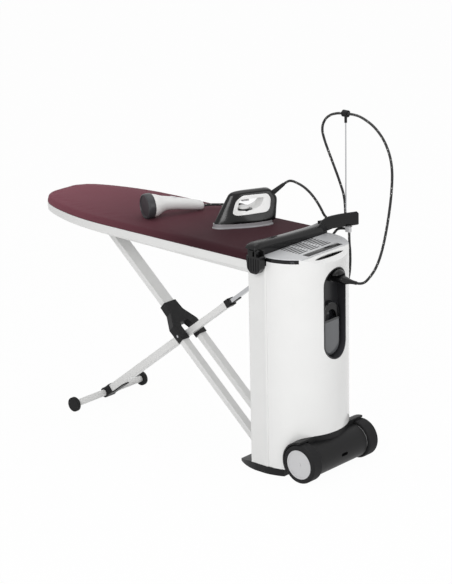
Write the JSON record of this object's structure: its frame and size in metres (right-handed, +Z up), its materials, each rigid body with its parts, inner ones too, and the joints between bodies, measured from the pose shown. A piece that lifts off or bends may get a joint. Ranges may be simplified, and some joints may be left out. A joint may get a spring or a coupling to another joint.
{
  "type": "steam_ironing_system",
  "caption": "Steam ironing system: padded height-adjustable board on crossed legs, joined to a tall wheeled steam station, with an iron, a hand steamer and their hoses.",
  "frame": {"origin": "On the floor, at the centre of the underside of the station's base, where the station's oval has its centre.", "axes": "+X runs along the board from its nose to the station's outer face, +Y across the board to the far side, +Z up."},
  "size_m": [1.5403, 0.506, 1.2555],
  "materials": {
    "white_paint": "satin",
    "white_plastic": "gloss",
    "black_plastic": "matte",
    "gloss_black": "gloss",
    "dark_grey": "matte",
    "light_grey": "satin",
    "brushed_deck": "brushed",
    "steel": "satin",
    "zinc": "matte",
    "sole": "polished",
    "cover_cloth": "woven",
    "tyre": "matte",
    "foot_rubber": "matte",
    "hose_braid": "matte",
    "smoky": "clear",
    "window": "gloss",
    "boiler_metal": "cast"
  },
  "bodies": {
    "station": {"base_plate": "black_plastic", "housing_shell": "white_plastic", "rear_columns": "white_paint", "column_caps": "black_plastic", "top_deck": "brushed_deck", "display_window": "window", "side_trim": "gloss_black", "recess_panel": "dark_grey", "boiler": "boiler_metal", "pump": "black_plastic", "wheel_housing": "black_plastic", "wheel_axle": "steel", "leg_base_shaft": "steel", "hose_gland": "black_plastic", "socket_hood": "gloss_black", "hose_plug": "gloss_black"},
    "power_button": {"power_button": "light_grey"},
    "tank": {"water_tank": "smoky", "tank_grip": "gloss_black"},
    "wheel_near": {"tyre_near": "tyre", "hub_near": "light_grey"},
    "wheel_far": {"tyre_far": "tyre", "hub_far": "light_grey"},
    "board": {"board_pan": "white_paint", "ironing_panel": "zinc", "board_cover": "cover_cloth", "end_rail": "gloss_black", "hose_tray": "black_plastic", "hose_mast": "steel", "mast_clip": "black_plastic", "lift_tubes": "steel", "leg_bracket": "zinc", "fan_grille": "black_plastic", "steam_hose": "hose_braid", "steamer_riser": "hose_braid"},
    "fan": {"fan_rotor": "black_plastic"},
    "lever": {"height_lever": "gloss_black"},
    "leg_a": {"leg_a_upper": "white_paint", "leg_fork": "black_plastic", "leg_a_rails": "white_paint"},
    "rollers": {"top_rollers": "black_plastic"},
    "leg_b": {"leg_b_lower": "white_paint", "leg_b_middle": "white_paint", "leg_b_inner": "steel", "leg_b_collar": "black_plastic", "leg_pins": "steel", "foot_bracket": "black_plastic", "foot_tube": "white_paint", "foot_caps": "foot_rubber"},
    "iron": {"iron_soleplate": "sole", "iron_body": "gloss_black", "iron_handle_ring": "white_plastic", "iron_hose_relief": "black_plastic", "iron_hose": "hose_braid"},
    "iron_trigger": {"iron_trigger": "light_grey"},
    "iron_dial": {"iron_dial": "dark_grey"},
    "steamer": {"steamer_head": "dark_grey", "steamer_body": "white_plastic", "steamer_hose": "hose_braid"},
    "steamer_trigger": {"steamer_trigger": "light_grey"}
  },
  "joints": [
    {"name": "board_lift", "type": "slide", "parent": "station", "child": "board", "axis": [0, 0, 1], "range_m": [0, 0.19], "deforming": ["steam_hose", "steamer_riser"]},
    {"name": "leg_a_fold", "type": "hinge", "parent": "station", "child": "leg_a", "pos_m": [-0.145, 0, 0.022], "axis": [0, 1, 0], "range_deg": [0, 14.3]},
    {"name": "leg_b_fold", "type": "hinge", "parent": "leg_a", "child": "leg_b", "pos_m": [-0.548, 0, 0.369], "axis": [0, -1, 0], "range_deg": [0, 27]},
    {"name": "roller_spin", "type": "hinge", "parent": "leg_a", "child": "rollers", "pos_m": [-0.98584, 0, 0.746], "axis": [0, 1, 0], "continuous": true},
    {"name": "wheel_near_spin", "type": "hinge", "parent": "station", "child": "wheel_near", "pos_m": [0.14, -0.1555, 0.0707], "axis": [0, 1, 0], "continuous": true},
    {"name": "wheel_far_spin", "type": "hinge", "parent": "station", "child": "wheel_far", "pos_m": [0.14, 0.1555, 0.0707], "axis": [0, 1, 0], "continuous": true},
    {"name": "fan_spin", "type": "hinge", "parent": "board", "child": "fan", "pos_m": [-0.3, 0, 0.77], "axis": [0, 0, 1], "continuous": true},
    {"name": "lever_pull", "type": "hinge", "parent": "board", "child": "lever", "pos_m": [-0.042, -0.203, 0.826], "axis": [-1, 0, 0], "range_deg": [0, 25], "stiffness_Nm_per_rad": 0.8},
    {"name": "tank_slide", "type": "slide", "parent": "station", "child": "tank", "axis": [1, 0, 0], "range_m": [0, 0.13]},
    {"name": "power_press", "type": "slide", "parent": "station", "child": "power_button", "axis": [-0.5822, 0.813, 0], "range_m": [0, 0.0015], "stiffness_N_per_m": 400},
    {"name": "iron_lift", "type": "slide", "parent": "board", "child": "iron", "axis": [0, 0, 1], "range_m": [0, 0.1], "deforming": ["iron_hose"]},
    {"name": "iron_trigger_press", "type": "slide", "parent": "iron", "child": "iron_trigger", "axis": [0, 0, 1], "range_m": [0, 0.003], "stiffness_N_per_m": 400},
    {"name": "iron_dial_turn", "type": "hinge", "parent": "iron", "child": "iron_dial", "pos_m": [-0.30189, 0.04905, 0.8883], "axis": [0, 0, 1], "range_deg": [0, 270]},
    {"name": "steamer_lift", "type": "slide", "parent": "board", "child": "steamer", "axis": [0, 0, 1], "range_m": [0, 0.1], "deforming": ["steamer_hose"]},
    {"name": "steamer_trigger_press", "type": "slide", "parent": "steamer", "child": "steamer_trigger", "axis": [-0.0909, -0.2249, -0.9701], "range_m": [0, 0.0025], "stiffness_N_per_m": 400}
  ],
  "couplings": [
    {"joint": "leg_a_fold", "follows": "board_lift", "rad_per_m": 1.3078},
    {"joint": "leg_b_fold", "follows": "board_lift", "rad_per_m": 2.4721}
  ]
}
